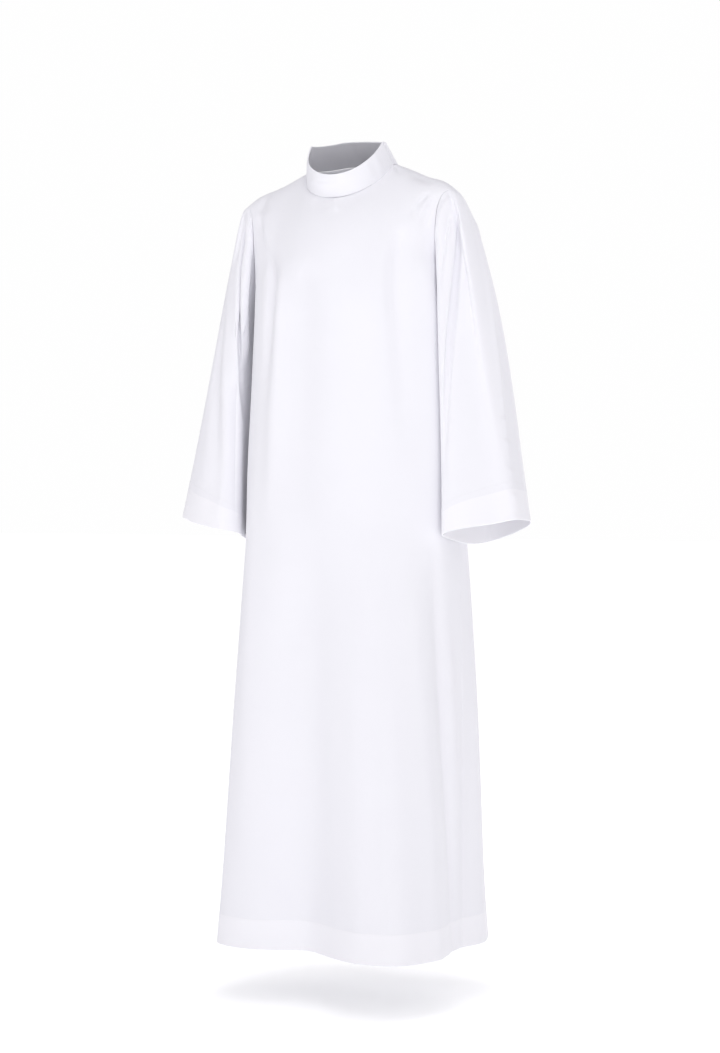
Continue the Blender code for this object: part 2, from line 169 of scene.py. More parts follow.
def bodyPoint(side, across, z):  # side is -1 in front and 1 behind
    sections = body["sections"]
    angle = across * math.pi / 2
    halfWidth = curve(sections, "halfWidth", z)
    depth = curve(sections, "frontDepth" if side < 0 else "backDepth", z)
    power = body["squareness"]
    reach = (abs(np.sin(angle)) / halfWidth) ** power + (abs(np.cos(angle)) / depth) ** power
    radius = reach ** (-1 / power)
    degrees = np.degrees(angle) if side < 0 else 180 - np.degrees(angle)
    for fold in body["folds"].values():
        apart = (degrees - curve(fold, "angle", z) + 180) % 360 - 180
        radius = radius + curve(fold, "height", z) * np.exp(-((apart / curve(fold, "width", z)) ** 2))
    x = curve(sections, "centreX", z) + radius * np.sin(angle)
    y = curve(sections, "centreY", z) + side * radius * np.cos(angle)
    return np.stack(np.broadcast_arrays(x, y, z), axis=-1)


def topPoint(side, across):  # neck opening in the middle, a shoulder seam on each hand
    neckWide = yoke["neckHalfWidth"]
    out = np.clip(abs(across) * yoke["shoulderX"], neckWide, yoke["shoulderX"])
    angle = np.clip(abs(across) / neckAcross, 0, 1) * math.pi / 2
    x = np.sign(across) * (out + neckWide * (np.sin(angle) - 1))
    neckZ = -yoke["neckDip"] * np.cos(angle) if side < 0 else yoke["neckRise"] * np.cos(angle) ** 2
    y = curve(yoke["shoulders"], "y", out) + side * yoke["neckHalfDepth"] * np.cos(angle)
    drop = yoke["rightDrop"] * np.clip(-x / neckWide - yoke["dropStart"], 0, 1)
    lift = yoke["leftLift"] * np.clip((x - yoke["liftStart"]) / (yoke["shoulderX"] - yoke["liftStart"]), 0, 1)
    return np.stack([x, y, curve(yoke["shoulders"], "z", out) + neckZ - drop + lift], axis=-1)


def seamFall(across):  # how steeply the shoulder seam falls
    step = 0.001
    x = np.clip(abs(across) * yoke["shoulderX"], yoke["neckHalfWidth"], yoke["shoulderX"] - step)
    return (curve(yoke["shoulders"], "z", x) - curve(yoke["shoulders"], "z", x + step)) / step


def yokePoint(side, across, up):
    across, up = np.broadcast_arrays(np.asarray(across, float), np.asarray(up, float))
    rises, step = yoke["rises"], 0.01
    outside = np.clip((abs(across) - neckAcross) / (1 - neckAcross), 0, 1)
    cut = yoke["frontCut"] if side < 0 else yoke["backCut"]
    across = across - np.sign(across) * cut * np.sin(math.pi * up) ** yoke["cutRoundness"] * outside**2
    start = bodyPoint(side, across, np.full(across.shape, body["underarmZ"]))
    below = bodyPoint(side, across, np.full(across.shape, body["underarmZ"] - step))
    rise = (start - below) / step * curve(rises, "lower", abs(across))[..., None]
    name = "front" if side < 0 else "back"
    reach, turn = curve(rises, name + "Reach", abs(across)), np.radians(curve(rises, "turn", abs(across)))
    sideways, forwards = reach * np.sin(turn), reach * np.cos(turn)
    fall = sideways * seamFall(across) + forwards * curve(rises, name + "Fall", abs(across))
    run = np.stack([np.sign(across) * sideways, side * forwards, -fall], axis=-1)
    end = topPoint(side, across)
    return bezier(start, start + rise, end + run, end, up)


def panelPoint(side, across, level):
    across, level = np.broadcast_arrays(np.asarray(across, float), np.asarray(level, float))
    z = body["underarmZ"] + np.minimum(level, 0) * (body["underarmZ"] - body["hemZ"])
    up = np.clip(level, 0, 1)
    spread = yoke["easing"] * fadeOut(up, yoke["easingStart"]) * (1 - up ** yoke["easingEnd"])
    spread = spread * np.minimum(1, (1 - abs(across)) / yoke["easing"])
    eased = 0
    for share, weight in yoke["easingWeights"]:
        eased = eased + weight * yokePoint(side, across + share * spread, up)
    point = np.where((level < 0)[..., None], bodyPoint(side, across, z), eased)
    return point + np.array([0, side * cloth["seamGap"] / 2, 0])


sleeves = {
    "length": 0.62,
    "strip": 0.007,  # share of the length that lies flat beside the armhole
    "shoulderBlend": 0.13,
    "blendPower": 4,
    "headSmoothing": 0.014,  # around, at the shoulder point
    "headSamples": 1200,
    "columns": 224,
    "closer": ((0.42, 0.10, 4, 1.2), (0.507, 0.018, 2, 2.5)),  # around, width, power, how much closer they lie
    "rowSpacing": 0.0036,
    "edgeStep": 0.006,
}

sleeveLeft = {
    "wearerSide": 1,
    "flat": (0.59, 0.62),
    "area": 0.27,
    "waves": {"seed": 31, "count": 12, "across": 22, "along": 7, "height": 0.0008},
    "cuff": {
        "around": (0, 0.11, 0.2, 0.27, 0.44, 0.5, 0.56, 0.666, 0.78, 0.88),
        "x": (0.224, 0.216, 0.212, 0.23, 0.312, 0.34, 0.346, 0.336, 0.288, 0.244),
        "y": (0.034, -0.028, -0.074, -0.083, -0.05, -0.034, -0.004, 0.046, 0.08, 0.084),
        "z": (-0.7, -0.692, -0.681, -0.674, -0.659, -0.653, -0.656, -0.664, -0.682, -0.696),
    },
    "lines": {  # how the long lines leave the armhole and come down to the cuff
        "around": (0, 0.125, 0.25, 0.375, 0.5, 0.6, 0.75, 0.875),
        "outX": (0.012, 0.016, 0.02, 0.044, 0.064, 0.086, 0.032, 0.018),
        "outY": (0, -0.026, -0.034, -0.024, -0.004, 0.04, 0.052, 0.026),
        "outZ": (-0.09, -0.09, -0.09, -0.066, -0.026, -0.044, -0.095, -0.09),
        "inX": (-0.006, -0.004, -0.006, -0.028, -0.05, -0.05, -0.02, -0.008),
        "inY": (0, 0.004, 0.008, 0.006, 0.006, 0.034, 0.014, -0.002),
        "inZ": (0.16, 0.16, 0.18, 0.23, 0.25, 0.24, 0.19, 0.16),
    },
    "folds": {  # long troughs from the armhole down
        "head": {
            "down": (0.03, 0.2, 0.42, 0.65, 0.85),
            "around": (0.42, 0.395, 0.34, 0.272, 0.225),
            "width": (0.02, 0.016, 0.017, 0.022, 0.03),
            "depth": (0.001, 0.007, 0.009, 0.006, 0),
        },
        "back": {
            "down": (0.05, 0.3, 0.85),
            "around": (0.66, 0.7, 0.73),
            "width": (0.03, 0.03, 0.034),
            "depth": (0.002, 0.012, 0),
        },
    },
    "creases": {  # places are around and down
        "headSharp": crease(
            (0.46, 0.12, 5, 1), (0.43, 0.175, 5, 3), (0.398, 0.22, 5, 4), (0.372, 0.29, 6, 5), (0.35, 0.37, 7, 5),
            (0.338, 0.43, 9, 5), (0.312, 0.5, 11, 4), (0.27, 0.65, 15, 3), (0.225, 0.84, 18, 2), lean=0.35,
        ),
        "headRidge": crease(
            (0.47, 0.14, 6, -1), (0.43, 0.23, 6, -3), (0.4, 0.3, 7, -4), (0.372, 0.39, 9, -3), (0.342, 0.52, 12, -1),
        ),
        "headShort": crease(
            (0.385, 0.07, 4, 1), (0.355, 0.14, 4, 4), (0.33, 0.19, 5, 5), (0.305, 0.227, 6, 5), (0.272, 0.275, 7, 3),
            (0.25, 0.34, 9, 1), lean=-0.3,
        ),
        "headMiddle": crease((0.4, 0.07, 4, 1), (0.381, 0.12, 5, 2.5), (0.366, 0.19, 6, 2.5), (0.345, 0.28, 8, 1)),
        "armholeLip": crease((0.23, 0.06, 8, -1), (0.3, 0.055, 7, -3), (0.37, 0.05, 6, -3), (0.44, 0.045, 6, -1)),
        "pressedEdge": crease(
            (0.52, 0.09, 8, -1), (0.545, 0.17, 12, -4), (0.54, 0.24, 14, -7), (0.53, 0.31, 14, -8),
            (0.52, 0.4, 13, -8), (0.516, 0.5, 12, -7), (0.515, 0.7, 11, -7), (0.511, 1.1, 11, -6), power=1.6,
        ),
        "outerSide": crease((0.56, 0.15, 14, 2), (0.57, 0.35, 16, 4), (0.575, 0.55, 18, 2), (0.58, 0.7, 20, 0)),
        "frontFlat": crease((0.43, 0.48, 26, 2), (0.43, 0.7, 32, 4), (0.42, 1.1, 38, 4)),
        "cuffFlare": crease((0.57, 0.65, 20, -1), (0.572, 0.85, 22, -4), (0.575, 1.1, 24, -6)),
        "elbowBack": crease((0.82, 0.38, 16, 2), (0.74, 0.43, 16, 5), (0.67, 0.44, 14, 2)),
        "backLong": crease((0.64, 0.15, 14, 3), (0.66, 0.42, 16, 5), (0.69, 0.7, 20, 3), (0.7, 0.95, 24, 1), lean=-0.4),
        "backRidge": crease((0.78, 0.25, 20, -2), (0.79, 0.6, 24, -4), (0.8, 1.1, 28, -3)),
    },
}

sleeveRight = {
    "wearerSide": -1,
    "flat": (0.56, 0.61),
    "area": 0.255,
    "waves": {"seed": 47, "count": 12, "across": 22, "along": 7, "height": 0.0008},
    "cuff": {
        "around": (0, 0.11, 0.2, 0.29, 0.43, 0.5, 0.56, 0.666, 0.78, 0.88),
        "x": (-0.224, -0.214, -0.204, -0.232, -0.306, -0.336, -0.346, -0.338, -0.29, -0.246),
        "y": (0.03, -0.03, -0.074, -0.09, -0.07, -0.044, -0.01, 0.042, 0.078, 0.08),
        "z": (-0.7, -0.69, -0.68, -0.675, -0.661, -0.653, -0.656, -0.664, -0.682, -0.696),
    },
    "lines": {
        "around": (0, 0.125, 0.25, 0.375, 0.5, 0.625, 0.75, 0.875),
        "outX": (0.012, 0.016, 0.018, 0.022, 0.018, 0.022, 0.02, 0.016),
        "outY": (0, -0.026, -0.034, -0.02, 0, 0.024, 0.038, 0.026),
        "outZ": (-0.09, -0.09, -0.09, -0.056, -0.017, -0.056, -0.095, -0.09),
        "inX": (-0.006, -0.004, -0.008, -0.034, -0.062, -0.048, -0.018, -0.008),
        "inY": (0, 0.004, 0.01, 0.01, 0.008, 0.006, 0.004, -0.002),
        "inZ": (0.16, 0.16, 0.18, 0.23, 0.25, 0.24, 0.19, 0.16),
    },
    "folds": {
        "head": {
            "down": (0.05, 0.2, 0.3, 0.37, 0.46, 0.62),
            "around": (0.39, 0.345, 0.305, 0.26, 0.185, 0.11),
            "width": (0.024, 0.024, 0.026, 0.028, 0.032, 0.036),
            "depth": (0.002, 0.01, 0.013, 0.014, 0.01, 0),
        },
        "back": {
            "down": (0.05, 0.35, 0.88),
            "around": (0.64, 0.67, 0.7),
            "width": (0.03, 0.03, 0.034),
            "depth": (0.002, 0.011, 0),
        },
    },
    "creases": {
        "headLong": crease(
            (0.4, 0.06, 5, 1), (0.38, 0.13, 6, 3), (0.345, 0.21, 7, 4), (0.3, 0.29, 8, 6), (0.256, 0.36, 9, 7),
            (0.186, 0.435, 11, 6), (0.092, 0.54, 16, 3), lean=0.3,
        ),
        "armpitRidge": crease((0.3, 0.04, 8, -3), (0.22, 0.16, 10, -8), (0.16, 0.3, 12, -7), (0.12, 0.42, 14, -2)),
        "headShort": crease((0.44, 0.03, 4, 2), (0.415, 0.13, 5, 4), (0.39, 0.23, 6, 4), (0.38, 0.33, 9, 1)),
        "frontRidge": crease(
            (0.39, 0.3, 12, -2), (0.361, 0.542, 16, -5), (0.319, 0.706, 18, -6), (0.292, 0.893, 20, -5),
            (0.28, 1.1, 22, -4),
        ),
        "outerValley": crease(
            (0.45, 0.4, 14, 2), (0.411, 0.599, 16, 8), (0.37, 0.72, 18, 9), (0.331, 0.843, 22, 7), (0.32, 1.05, 26, 2),
        ),
        "innerValley": crease(
            (0.24, 0.48, 14, 2), (0.225, 0.6, 17, 9), (0.215, 0.8, 19, 9), (0.21, 1.1, 20, 4), lean=-0.4,
        ),
        "armholeLip": crease((0.26, 0.02, 9, -2), (0.34, 0.06, 9, -4), (0.43, 0.05, 9, -2)),
        "pressedEdge": crease((0.515, 0.2, 10, -1), (0.505, 0.4, 10, -2), (0.5, 0.7, 12, -2), (0.5, 1.1, 14, -1)),
        "elbowBack": crease((0.85, 0.44, 16, 2), (0.76, 0.48, 16, 4), (0.69, 0.47, 14, 2)),
        "backLong": crease((0.62, 0.12, 14, 3), (0.64, 0.4, 16, 6), (0.66, 0.65, 20, 3), (0.68, 0.9, 24, 1), lean=0.4),
        "backRidge": crease((0.76, 0.3, 20, -2), (0.77, 0.65, 24, -4), (0.79, 1.1, 28, -2)),
    },
}


def armholePoint(wearerSide, around, across=1.0):  # 0 at the underarm, up the front to 0.5, down the back
    edge = np.full(around.shape, wearerSide * across)
    front = yokePoint(-1, edge, np.clip(2 * around, 0, 1))
    back = yokePoint(1, edge, np.clip(2 - 2 * around, 0, 1))
    return np.where((around <= 0.5)[..., None], front, back)


def shoulderDirection(wearerSide, around):  # how the panel's cloth runs on over the armhole
    acrossStep, step = 0.02, 0.002
    on = armholePoint(wearerSide, around) - armholePoint(wearerSide, around, 1 - acrossStep)
    higher = unit(armholePoint(wearerSide, around + step) - armholePoint(wearerSide, around - step))
    return unit(on - higher * np.sum(on * higher, axis=-1, keepdims=True))


def handles(sleeve, name, around):  # of the long lines: out of the armhole, or in to the cuff
    ways = np.stack([ringCurve(sleeve["lines"], name + axis, around) for axis in "XYZ"], axis=-1)
    return ways * np.array([sleeve["wearerSide"], 1, 1])


def sleeveHead(sleeve):  # the armhole edge and how the cloth leaves it, all round
    around = np.linspace(0, 1, sleeves["headSamples"] + 1)
    side = sleeve["wearerSide"]
    leave = handles(sleeve, "out", around)
    on = shoulderDirection(side, around)
    nearShoulder = np.exp(-(((around - 0.5) / sleeves["shoulderBlend"]) ** sleeves["blendPower"]))[:, None]
    leave = leave + nearShoulder * (on * np.linalg.norm(leave, axis=-1, keepdims=True) - leave)
    ring, spread = leave[:-1], sleeves["headSmoothing"] * sleeves["headSamples"]
    reach = int(2.5 * spread)
    shifts = range(-reach, reach + 1)
    weights = np.exp(-((np.array(shifts) / spread) ** 2) / 2)
    ring = sum(weight * np.roll(ring, shift, axis=0) for shift, weight in zip(shifts, weights)) / weights.sum()
    edge = armholePoint(side, around) + np.array([cloth["seamGap"] * side, 0, 0])
    return {"around": around, "edge": edge, "leave": np.concatenate([ring, ring[:1]])}


def plainSleevePoint(sleeve, around, down):
    around, down = np.broadcast_arrays(np.asarray(around, float), np.asarray(down, float))
    around = around % 1.0
    head, strip = sleeve["head"], sleeves["strip"]
    edge, leave = (
        np.stack([np.interp(around, head["around"], column) for column in head[name].T], axis=-1)
        for name in ("edge", "leave")
    )
    arrive = handles(sleeve, "in", around)
    start = edge + unit(leave) * strip * sleeves["length"]
    end = np.stack([ringCurve(sleeve["cuff"], axis, around) for axis in "xyz"], axis=-1)
    below = bezier(start, start + leave, end + arrive, end, (down - strip) / (1 - strip))
    return np.where((down < strip)[..., None], edge + (start - edge) * down[..., None] / strip, below)


for sleeve in (sleeveLeft, sleeveRight):
    sleeve["head"] = sleeveHead(sleeve)


def sleevePoint(sleeve, around, down):
    step = 0.004
    here = plainSleevePoint(sleeve, around, down)
    roundIt = plainSleevePoint(sleeve, around + step, down) - here
    along = plainSleevePoint(sleeve, around, down + step) - here
    inwards = unit(sleeve["wearerSide"] * np.cross(roundIt, along))
    depth = 0
    for fold in sleeve["folds"].values():
        apart = around - curve(fold, "around", down)
        depth = depth + curve(fold, "depth", down) * np.exp(-((apart / curve(fold, "width", down)) ** 2))
    return here + inwards * depth[..., None]


creasing = {"samples": 48, "reach": 4, "endFade": 0.22}  # reach in widths, and fade as a share of the path


class Surface:
    # a piece's form with its outward normals, and the creases pressed into it
    def __init__(self, point, middle, outwards, piece, hold):
        self.point, self.middle, self.outwards, self.hold = point, middle, outwards, hold
        self.creases, self.waves = piece["creases"], piece["waves"]

    def frame(self, u, v, step=0.004):  # the place, the outward normal, and the ways along u and v
        here = self.point(u, v)
        uStep = np.where(u > self.middle[0], -step, step)
        vStep = np.where(v > self.middle[1], -step, step)
        alongU = unit((self.point(u + uStep, v) - here) * np.sign(uStep)[..., None])
        alongV = unit((self.point(u, v + vStep) - here) * np.sign(vStep)[..., None])
        return here, unit(np.cross(alongU, alongV)) * self.outwards, alongU, alongV

    def pressed(self, here, normal):  # how deep the creases are at each place
        depth = np.zeros(here.shape[:-1])
        for fold in self.creases.values():
            path = np.array(fold["path"])
            knots, at = np.linspace(0, 1, len(path)), np.linspace(0, 1, creasing["samples"])
            columns = dict(zip(("at", "u", "v", "width", "depth"), (knots, *path.T)))
            line = self.point(curve(columns, "u", at), curve(columns, "v", at))
            tangents = unit(np.gradient(line, axis=0))
            spacing = np.linalg.norm(np.diff(line, axis=0), axis=1).mean()
            reach = creasing["reach"] * path[:, 2].max()
            near = np.all((here > line.min(axis=0) - reach) & (here < line.max(axis=0) + reach), axis=-1)
            apart = sum((here[near][:, None, i] - line[:, i]) ** 2 for i in range(3))
            nearest = apart.argmin(axis=-1)
            gap = here[near] - line[nearest]
            forward = np.sum(gap * tangents[nearest], axis=-1)
            gap = gap - forward[..., None] * tangents[nearest]
            place = np.clip(at[nearest] + forward / spacing / (len(at) - 1), 0, 1)
            hand = np.sign(np.sum(np.cross(tangents[nearest], gap) * normal[near], axis=-1))
            width = curve(columns, "width", place) * (1 + fold["lean"] * hand)
            past = np.maximum(0, abs(forward) - spacing) * (np.isin(nearest, (0, len(at) - 1)))
            aside = np.linalg.norm(gap, axis=-1)
            shape = np.exp(-((aside / width) ** fold["power"]) - (past / width) ** 2)
            fade = np.clip(np.minimum(place, 1 - place) / creasing["endFade"], 0, 1)
            depth[near] += curve(columns, "depth", place) * shape * fade**2 * (3 - 2 * fade)
        return depth

    def wave(self, u, v):  # uneven shallow waves all over
        random = np.random.RandomState(self.waves["seed"])
        height = 0
        for _ in range(self.waves["count"]):
            across, along = random.normal(0, self.waves["across"]), random.normal(0, self.waves["along"])
            height = height + random.uniform(0.3, 1) * np.sin(across * u + along * v + random.uniform(0, 6.28))
        return self.waves["height"] * height / math.sqrt(self.waves["count"])

    def placed(self, u, v):
        here, normal, alongU, alongV = self.frame(u, v)
        depth = (self.pressed(here, normal) + self.wave(u, v)) * self.hold(u, v)  # nothing moves at a seam
        here = here - normal * depth[..., None]
        return here, normal, alongU, alongV


frontPanel = {
    "side": -1,
    "columns": 138,
    "rowSpacing": 0.0058,
    "yokeRows": 44,
    "edgeStep": 0.010,
    "flat": (0.86, 1.5),
    "area": 0.98,
    "waves": {"seed": 11, "count": 14, "across": 11, "along": 6, "height": 0.0009},
    "creases": {  # places are across and by level
        "rightChest": crease(
            (-0.8, 0.56, 14, 2), (-0.6, 0.4, 15, 7), (-0.48, 0.25, 15, 12), (-0.445, 0.1, 15, 12),
            (-0.44, -0.04, 17, 7), (-0.45, -0.18, 22, 2), lean=0.2,
        ),
        "rightChestRidge": crease(
            (-0.37, 0.33, 14, -2), (-0.355, 0.15, 15, -6), (-0.36, -0.05, 16, -8), (-0.37, -0.22, 20, -6),
            (-0.4, -0.38, 26, -1),
        ),
        "rightArmpit": crease(
            (-0.9, 0.7, 12, 2), (-0.76, 0.56, 14, 5), (-0.65, 0.38, 18, 4), (-0.61, 0.2, 20, 2), lean=-0.4,
        ),
        "rightArmpitRidge": crease((-0.72, 0.7, 14, -2), (-0.64, 0.52, 16, -4), (-0.56, 0.34, 20, -2)),
        "rightUpper": crease((-0.73, 0.93, 10, 1), (-0.79, 0.8, 10, 4), (-0.8, 0.66, 12, 2)),
        "middleSoft": crease(
            (-0.11, 0.4, 32, 2), (-0.13, 0.2, 36, 8), (-0.14, -0.06, 40, 10), (-0.15, -0.28, 40, 8),
            (-0.17, -0.5, 42, 5), (-0.19, -0.7, 44, 1),
        ),
        "leftChest": crease(
            (0.61, 0.52, 13, 2), (0.56, 0.36, 15, 9), (0.55, 0.12, 17, 9), (0.57, -0.08, 18, 5), (0.6, -0.26, 20, 1),
        ),
        "leftChestRidge": crease(
            (0.86, 0.42, 20, -4), (0.83, 0.26, 26, -11), (0.81, 0.006, 30, -14), (0.8, -0.18, 32, -13),
            (0.79, -0.33, 34, -7), (0.78, -0.45, 36, -1),
        ),
        "leftShoulderA": crease(
            (0.84, 0.77, 4, 2), (0.77, 0.698, 5, 4), (0.7, 0.62, 6, 4), (0.63, 0.545, 8, 1), lean=0.4,
        ),
        "leftShoulderB": crease((0.96, 0.74, 4, 2), (0.91, 0.682, 5, 4), (0.85, 0.6, 6, 4), (0.79, 0.5, 8, 1)),
        "leftShoulderLip": crease((0.89, 0.73, 5, -1), (0.825, 0.65, 6, -3), (0.75, 0.56, 8, -1)),
        "leftDent": crease((0.56, 0.93, 10, 1), (0.68, 0.91, 12, 4), (0.78, 0.881, 10, 2), (0.84, 0.86, 10, 1)),
        "neckLeft": crease((0.405, 0.985, 6, 2), (0.43, 0.931, 7, 3), (0.465, 0.843, 10, 1), lean=0.3),
        "belowCollar": crease((0.01, 0.995, 18, -2), (0.018, 0.94, 13, -5), (0.034, 0.85, 8, -5), (0.05, 0.75, 5, -2)),
        "belowCollarRight": crease((-0.11, 0.98, 8, 1), (-0.07, 0.9, 9, 2), (-0.01, 0.8, 10, 1)),
        "belowCollarLeft": crease((0.18, 0.98, 9, 1), (0.13, 0.9, 10, 2), (0.09, 0.78, 10, 1)),
        "betweenKnees": crease(
            (0, -0.2, 34, 2), (0, -0.4, 38, 8), (-0.01, -0.6, 42, 10), (0.01, -0.78, 42, 8), (0.05, -0.94, 40, 7),
            (0.08, -1.12, 40, 6),
        ),
        "rightKnee": crease(
            (-0.56, -0.08, 22, -1), (-0.545, -0.3, 24, -5), (-0.52, -0.46, 28, -6), (-0.47, -0.682, 34, -6),
            (-0.45, -0.9, 38, -4), (-0.44, -1.12, 38, -3),
        ),
        "leftKneeInner": crease(
            (0.31, -0.38, 26, -2), (0.3, -0.56, 28, -5), (0.29, -0.85, 30, -4), (0.29, -1.12, 30, -3),
        ),
        "leftKneeValley": crease((0.35, -0.3, 24, 1), (0.34, -0.6, 26, 4), (0.34, -0.82, 28, 5), (0.35, -1.12, 28, 3)),
        "leftKneeOuter": crease(
            (0.61, -0.28, 26, -2), (0.62, -0.52, 28, -7), (0.628, -0.76, 30, -10), (0.642, -1, 32, -10),
            (0.65, -1.15, 32, -6),
        ),
        "leftThigh": crease(
            (0.745, -0.28, 14, 2), (0.768, -0.46, 17, 8), (0.785, -0.64, 17, 10), (0.818, -0.8, 18, 9),
            (0.855, -0.96, 20, 7), (0.868, -1.12, 22, 4),
        ),
        "leftSideRidge": crease(
            (0.85, -0.42, 18, -2), (0.87, -0.64, 22, -7), (0.89, -0.86, 24, -6), (0.9, -1.1, 26, -3),
        ),
        "rightOuter": crease((-0.82, -0.2, 26, 2), (-0.76, -0.42, 30, 6), (-0.72, -0.7, 32, 6), (-0.7, -1.1, 36, 4)),
        "rightShin": crease((-0.24, -0.36, 34, 2), (-0.24, -0.56, 38, 5), (-0.24, -0.86, 40, 5), (-0.24, -1.12, 42, 4)),
    },
}

backPanel = {
    "side": 1,
    "columns": 132,
    "rowSpacing": 0.0060,
    "yokeRows": 42,
    "edgeStep": 0.010,
    "flat": (0.78, 1.52),
    "area": 0.95,
    "waves": {"seed": 23, "count": 14, "across": 10, "along": 6, "height": 0.001},
    "creases": {
        "leftBlade": crease(
            (0.9, 0.72, 12, 2), (0.76, 0.56, 18, 6), (0.64, 0.34, 24, 6), (0.58, 0.06, 30, 4), (0.56, -0.2, 36, 2),
            lean=0.3,
        ),
        "leftBladeRidge": crease((0.7, 0.7, 16, -2), (0.56, 0.48, 22, -4), (0.46, 0.22, 26, -2)),
        "rightBlade": crease(
            (-0.93, 0.68, 12, 2), (-0.8, 0.5, 18, 6), (-0.7, 0.26, 24, 6), (-0.66, -0.04, 28, 3), lean=-0.3,
        ),
        "rightBladeRidge": crease((-0.78, 0.66, 14, -2), (-0.64, 0.44, 20, -4), (-0.56, 0.2, 26, -2)),
        "belowCollar": crease((-0.08, 0.97, 14, 1), (-0.06, 0.86, 16, 3), (-0.05, 0.7, 20, 1)),
        "spine": crease((0.06, 0.5, 30, 2), (0.04, 0.25, 32, 5), (0.03, -0.02, 36, 6), (0.02, -0.3, 40, 3)),
        "waistRight": crease(
            (-0.34, 0.16, 26, -1), (-0.32, -0.08, 30, -5), (-0.3, -0.36, 34, -4), (-0.3, -0.62, 38, -1),
        ),
        "seatMiddle": crease((0, -0.34, 26, 2), (-0.04, -0.54, 28, 8), (-0.07, -0.78, 32, 9), (-0.09, -1.12, 34, 6)),
        "seatLeft": crease(
            (0.36, -0.18, 26, 2), (0.35, -0.42, 28, 7), (0.34, -0.64, 30, 6), (0.33, -0.86, 34, 2), lean=0.3,
        ),
        "leftCalf": crease((0.24, -0.48, 30, -2), (0.23, -0.74, 34, -6), (0.22, -1.12, 36, -5)),
        "rightCalf": crease((-0.42, -0.38, 30, -2), (-0.4, -0.62, 34, -7), (-0.39, -1.12, 36, -5)),
        "rightOuter": crease(
            (-0.64, -0.22, 18, 2), (-0.63, -0.48, 20, 8), (-0.64, -0.76, 22, 7), (-0.67, -1.1, 26, 4), lean=-0.35,
        ),
        "leftOuter": crease((0.68, -0.32, 20, 2), (0.68, -0.56, 22, 6), (0.69, -0.82, 24, 6), (0.7, -1.12, 28, 4)),
        "leftSideRidge": crease(
            (0.85, -0.26, 18, -2), (0.85, -0.56, 20, -5), (0.85, -0.82, 24, -3), (0.85, -1.05, 26, -1),
        ),
    },
}


def panelSurface(panel):
    hold = lambda u, v: fadeOut(1 - abs(u), 0.06) * fadeOut(1 - v, 0.02)
    return Surface(lambda u, v: panelPoint(panel["side"], u, v), (0, 0), -panel["side"], panel, hold)


def sleeveSurface(sleeve):
    hold = lambda u, v: fadeOut(v, 0.03) * fadeOut(np.minimum(u, 1 - u), 0.04)
    return Surface(lambda u, v: sleevePoint(sleeve, u, v), (0.5, 0.5), -sleeve["wearerSide"], sleeve, hold)


def rounded(radius, degrees):  # rows round a turn: how far back and how deep each lies
    return [(radius * (1 - math.sin(a)), radius * (1 - math.cos(a))) for a in np.radians(degrees)]


def seamTurn():
    # beyond a sewn edge the cloth rounds over and turns in
    radius, deep = cloth["seamRoll"], cloth["allowance"]
    return rounded(radius, (0, 25, 50, 70, 90)) + [(0, radius + deep * share) for share in (0.4, 1)]


def turnedEdge():
    # a hem or a cuff from inside round its fold: distance from the edge and how deep each row lies
    radius = cloth["foldGap"] / 2
    inside = [(distance, 2 * radius) for distance in np.linspace(cloth["edgeDepth"] - 0.001, 0.003, 12)]
    return inside + rounded(radius, (160, 125, 90, 55, 20))


def edgeRows(length, spacing):
    # distances up the cloth from a folded edge, close together at the fold and at the sewn line
    depth = cloth["edgeDepth"]
    nearFold, nearSewn = [0.0012, 0.0025, 0.005], (0, 0.0009, 0.0018, 0.003, 0.005)
    band = list(np.arange(0.010, depth - 0.006, spacing))
    sewn = [depth - step for step in nearSewn[:0:-1]] + [depth + step for step in nearSewn]
    return nearFold + band + sewn + list(np.linspace(depth + 0.010, length, int((length - depth) / spacing)))


def edgeBand(distance):
    # the turned-up edge stands a little proud, and the sewn line along its top pulls in
    above = distance - cloth["edgeDepth"]
    (proud, over), (dip, width) = cloth["edgeProud"], cloth["sewnDip"]
    return proud / (1 + np.exp(np.clip(above / over, -40, 40))) - dip * np.exp(-((above / width) ** 2))


def pieceFrom(bm, name):
    mesh = bpy.data.meshes.new(name)
    bm.to_mesh(mesh)
    bm.free()
    mesh.shade_smooth()
    piece = bpy.data.objects.new(name, mesh)
    bpy.context.scene.collection.objects.link(piece)
    return piece


def clothPiece(name, places, uvs, closed, reverse):
    # a grid of places made a mesh, with its layout in metres as the UV map
    rows, columns = places.shape[:2]
    if closed:
        places[:, -1] = places[:, 0]
    bm = bmesh.new()
    bmesh.ops.create_grid(bm, x_segments=columns - 1, y_segments=rows - 1, size=1)
    layout = bm.loops.layers.uv.new("layout")
    step = -1 if reverse else 1
    flatPlaces, flatUvs = places[:, ::step].reshape(-1, 3), uvs[:, ::step].reshape(-1, 2)
    for number, vert in enumerate(bm.verts):
        vert.co = flatPlaces[number]
        for loop in vert.link_loops:
            loop[layout].uv = flatUvs[number]
    if closed:
        bmesh.ops.remove_doubles(bm, verts=bm.verts, dist=1e-6)
    return pieceFrom(bm, name)


def addWall(piece, thickness):
    wall = piece.modifiers.new("wall", "SOLIDIFY")
    wall.thickness, wall.offset, wall.use_even_offset = thickness, -1, False


def layoutUvs(places, middleColumn, edgeRow):
    # distances across from the middle column and up from the folded edge
    steps = np.linalg.norm(np.diff(places, axis=1), axis=-1)
    across = np.concatenate([np.zeros((len(places), 1)), np.cumsum(steps, axis=1)], axis=1)
    across -= across[:, middleColumn : middleColumn + 1]
    rises = np.linalg.norm(np.diff(places[:, middleColumn], axis=0), axis=-1)
    up = np.concatenate([[0], np.cumsum(rises)])
    up -= up[edgeRow]
    return np.stack(np.broadcast_arrays(across, up[:, None]), axis=-1)


